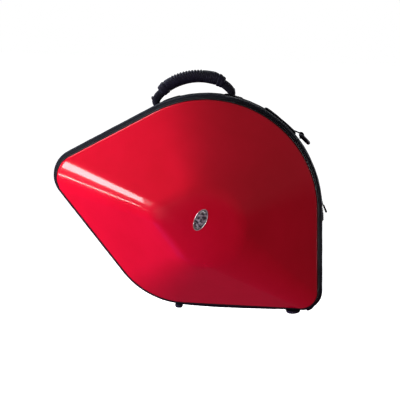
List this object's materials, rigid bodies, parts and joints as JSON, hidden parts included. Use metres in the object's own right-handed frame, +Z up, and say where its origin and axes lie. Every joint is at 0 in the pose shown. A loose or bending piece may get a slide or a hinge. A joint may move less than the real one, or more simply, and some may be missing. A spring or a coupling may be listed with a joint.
{
  "type": "french horn case",
  "caption": "Hard case for a fixed-bell french horn: two domed red shells joined by a padded zipped band, with carrying handle and feet.",
  "frame": {"origin": "on the floor, below the middle of the standing case", "axes": "+X along the case from the mouthpipe end to the bell side, +Y from the lid to the back, +Z up"},
  "size_m": [0.6082, 0.3377, 0.5264],
  "materials": {
    "red_gelcoat": "high gloss gelcoat over moulded glass fibre",
    "padded_nylon": "black woven nylon over foam",
    "rubber_bead": "satin black",
    "zip_fabric": "black knitted tape",
    "zip_coil": "black nylon coil",
    "plush": "black plush lining",
    "plush_foam": "black plush over foam",
    "webbing": "black woven webbing",
    "dark_steel": "blackened steel",
    "foot_rubber": "matt black rubber",
    "grip_rubber": "ribbed black rubber",
    "black_metal": "satin black coating",
    "bright_metal": "bright plated",
    "badge_face": "dark gloss"
  },
  "bodies": {
    "case_base": {"bell_cradle": "plush_foam", "crook_pad": "plush_foam", "handle_anchor_left": "webbing", "handle_anchor_right": "webbing", "handle_rivets": "dark_steel", "mouthpipe_rest": "plush_foam", "rear_band": "padded_nylon", "rear_edge_piping": "rubber_bead", "rear_foot_left": "foot_rubber", "rear_foot_right": "foot_rubber", "rear_foot_screws": "dark_steel", "rear_gusset": "padded_nylon", "rear_lining": "plush", "rear_shell": "red_gelcoat", "rear_zip_tape": "zip_fabric", "rear_zip_teeth": "zip_coil", "retaining_strap": "webbing", "ring_tab": "webbing", "shoulder_patch": "webbing", "valve_pad": "plush_foam", "zip_end_tab": "webbing"},
    "lid": {"badge_bezel": "bright_metal", "badge_plate": "badge_face", "front_band": "padded_nylon", "front_edge_piping": "rubber_bead", "front_foot_left": "foot_rubber", "front_foot_right": "foot_rubber", "front_foot_screws": "dark_steel", "front_gusset": "padded_nylon", "front_lining": "plush", "front_shell": "red_gelcoat", "front_zip_tape": "zip_fabric", "front_zip_teeth": "zip_coil", "lid_cushion": "plush_foam"},
    "handle": {"handle_strap": "webbing", "handle_grip": "grip_rubber", "grip_collar_left": "grip_rubber", "grip_collar_right": "grip_rubber"},
    "upper_slider": {"upper_slider": "black_metal"},
    "upper_pull": {"upper_pull": "black_metal"},
    "lower_slider": {"lower_slider": "black_metal"},
    "lower_pull": {"lower_pull": "black_metal"},
    "strap_ring": {"strap_ring": "black_metal"}
  },
  "joints": [
    {"name": "lid_hinge", "type": "hinge", "parent": "case_base", "child": "lid", "pos_m": [0.108, 0, 0.006], "axis": [1, 0, 0], "range_deg": [0, 100]},
    {"name": "handle_swing", "type": "hinge", "parent": "case_base", "child": "handle", "pos_m": [0.00319, 0.019, 0.47623], "axis": [0.9914, 0, 0.1305], "range_deg": [-50, 50]},
    {"name": "upper_slider_travel", "type": "hinge", "parent": "case_base", "child": "upper_slider", "pos_m": [0.0364, 0, 0.224], "axis": [0, -1, 0], "range_deg": [0, 111]},
    {"name": "upper_pull_flip", "type": "hinge", "parent": "upper_slider", "child": "upper_pull", "pos_m": [0.29174, 0, 0.24838], "axis": [0, -1, 0], "range_deg": [0, 140]},
    {"name": "lower_slider_travel", "type": "slide", "parent": "case_base", "child": "lower_slider", "axis": [0.0558, 0, -0.9984], "range_m": [0, 0.15]},
    {"name": "lower_pull_flip", "type": "hinge", "parent": "lower_slider", "child": "lower_pull", "pos_m": [0.29284, 0, 0.23222], "axis": [0, -1, 0], "range_deg": [0, 30]},
    {"name": "ring_swing", "type": "hinge", "parent": "case_base", "child": "strap_ring", "pos_m": [0.23825, 0.021, 0.39337], "axis": [0, -1, 0], "range_deg": [0, 110]}
  ]
}
